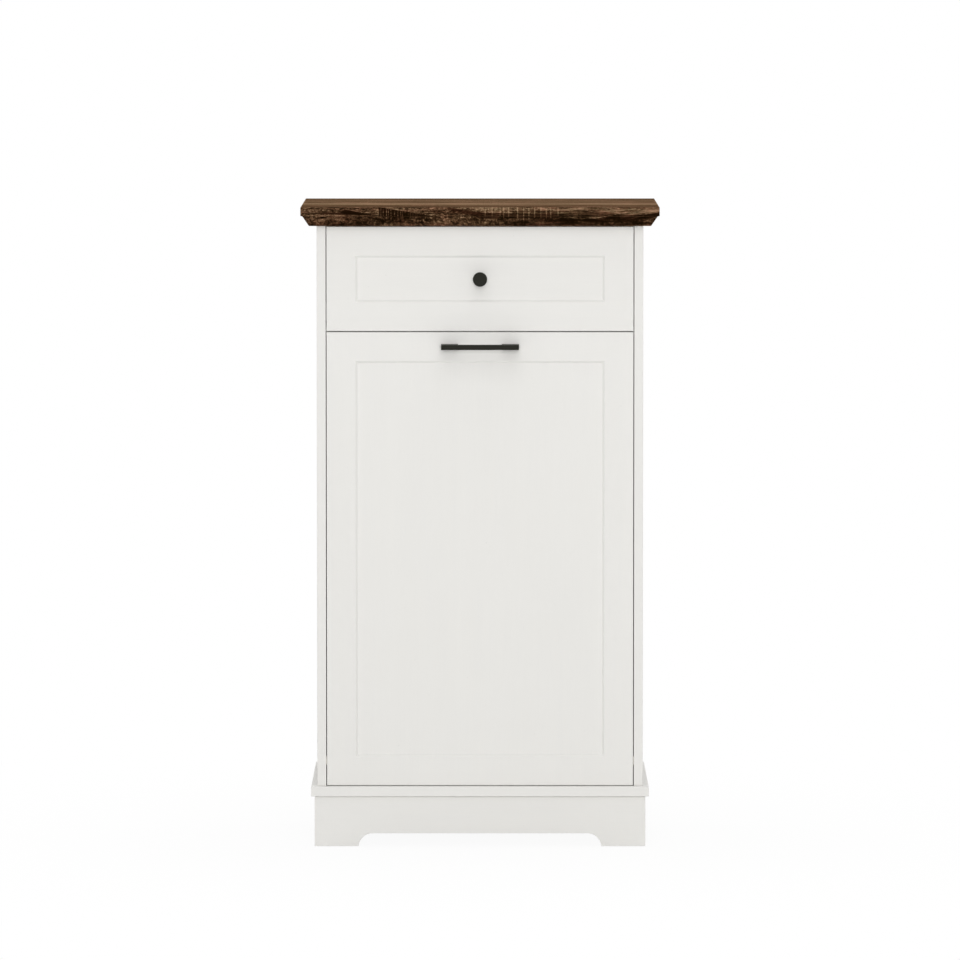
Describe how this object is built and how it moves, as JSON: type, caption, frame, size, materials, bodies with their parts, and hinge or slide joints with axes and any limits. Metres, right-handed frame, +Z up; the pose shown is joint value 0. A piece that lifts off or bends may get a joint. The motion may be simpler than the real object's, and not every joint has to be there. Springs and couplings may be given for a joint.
{
  "type": "tilt-out trash cabinet",
  "caption": "Slim white cabinet with a dark wood top, a drawer on roller runners and a tilt-out door that carries a bin rack.",
  "frame": {"origin": "on the floor, under the middle of the cabinet's bounding box", "axes": "+Z up, front towards -Y, +X to the right of someone who faces the front"},
  "size_m": [0.497, 0.358, 0.8905],
  "materials": {
    "white_board": "white wood-grain foil on fibreboard, satin",
    "dark_oak": "dark rustic oak, satin",
    "raw_board": "unfinished fibreboard",
    "black_metal": "matt black powder coat",
    "zinc_steel": "zinc plated",
    "runner_coating": "white epoxy coating",
    "nylon": "natural nylon",
    "grey_plastic": "moulded grey plastic"
  },
  "bodies": {
    "case": {"top_slab": "dark_oak", "side_panel_left": "white_board", "side_panel_right": "white_board", "back_panel": "raw_board", "base_board": "white_board", "partition_board": "white_board", "top_rail_front": "white_board", "top_rail_rear": "white_board", "plinth_front": "white_board", "plinth_side_left": "white_board", "plinth_side_right": "white_board", "plinth_rear_rail": "raw_board", "corner_blocks": "raw_board", "case_cams": "zinc_steel", "case_cam_bolts": "zinc_steel", "case_long_screws": "zinc_steel", "case_small_screws": "zinc_steel", "case_runner_left": "runner_coating", "case_runner_right": "runner_coating", "case_runner_rivets": "zinc_steel", "pivot_bushes": "nylon", "stay_studs": "zinc_steel", "catch_body": "grey_plastic", "catch_poles": "zinc_steel"},
    "drawer": {"drawer_front": "white_board", "drawer_side_left": "white_board", "drawer_side_right": "white_board", "drawer_back": "white_board", "drawer_bottom": "white_board", "drawer_cams": "zinc_steel", "drawer_cam_bolts": "zinc_steel", "drawer_long_screws": "zinc_steel", "drawer_small_screws": "zinc_steel", "drawer_runner_left": "runner_coating", "drawer_runner_right": "runner_coating", "drawer_runner_rivets": "zinc_steel", "knob": "black_metal", "knob_screw": "zinc_steel"},
    "case_roller_left": {"case_roller_left": "nylon"},
    "case_roller_right": {"case_roller_right": "nylon"},
    "drawer_roller_left": {"drawer_roller_left": "nylon"},
    "drawer_roller_right": {"drawer_roller_right": "nylon"},
    "door": {"door_panel": "white_board", "carrier_side_left": "white_board", "carrier_side_right": "white_board", "carrier_bottom": "white_board", "carrier_rear_rail": "white_board", "carrier_cams": "zinc_steel", "carrier_cam_bolts": "zinc_steel", "carrier_long_screws": "zinc_steel", "door_small_screws": "zinc_steel", "door_handle": "black_metal", "handle_screws": "zinc_steel", "pivot_pins": "zinc_steel", "stay_plate_left": "zinc_steel", "stay_plate_right": "zinc_steel", "strike_plate": "zinc_steel"}
  },
  "joints": [
    {"name": "drawer_slide", "type": "slide", "parent": "case", "child": "drawer", "axis": [0, -1, 0], "range_m": [0, 0.21]},
    {"name": "door_tilt", "type": "hinge", "parent": "case", "child": "door", "pos_m": [0, -0.1435, 0.1189], "axis": [1, 0, 0], "range_deg": [0, 35]},
    {"name": "case_roller_left_spin", "type": "hinge", "parent": "case", "child": "case_roller_left", "pos_m": [0, -0.119, 0.74595], "axis": [1, 0, 0], "range_deg": [0, 1337]},
    {"name": "case_roller_right_spin", "type": "hinge", "parent": "case", "child": "case_roller_right", "pos_m": [0, -0.119, 0.74595], "axis": [1, 0, 0], "range_deg": [0, 1337]},
    {"name": "drawer_roller_left_spin", "type": "hinge", "parent": "drawer", "child": "drawer_roller_left", "pos_m": [0, 0.153, 0.74305], "axis": [1, 0, 0], "range_deg": [0, 1337]},
    {"name": "drawer_roller_right_spin", "type": "hinge", "parent": "drawer", "child": "drawer_roller_right", "pos_m": [0, 0.153, 0.74305], "axis": [1, 0, 0], "range_deg": [0, 1337]}
  ],
  "couplings": [
    {"joint": "case_roller_left_spin", "follows": "drawer_slide", "rad_per_m": 111.11},
    {"joint": "case_roller_right_spin", "follows": "drawer_slide", "rad_per_m": 111.11},
    {"joint": "drawer_roller_left_spin", "follows": "drawer_slide", "rad_per_m": 111.11},
    {"joint": "drawer_roller_right_spin", "follows": "drawer_slide", "rad_per_m": 111.11}
  ]
}
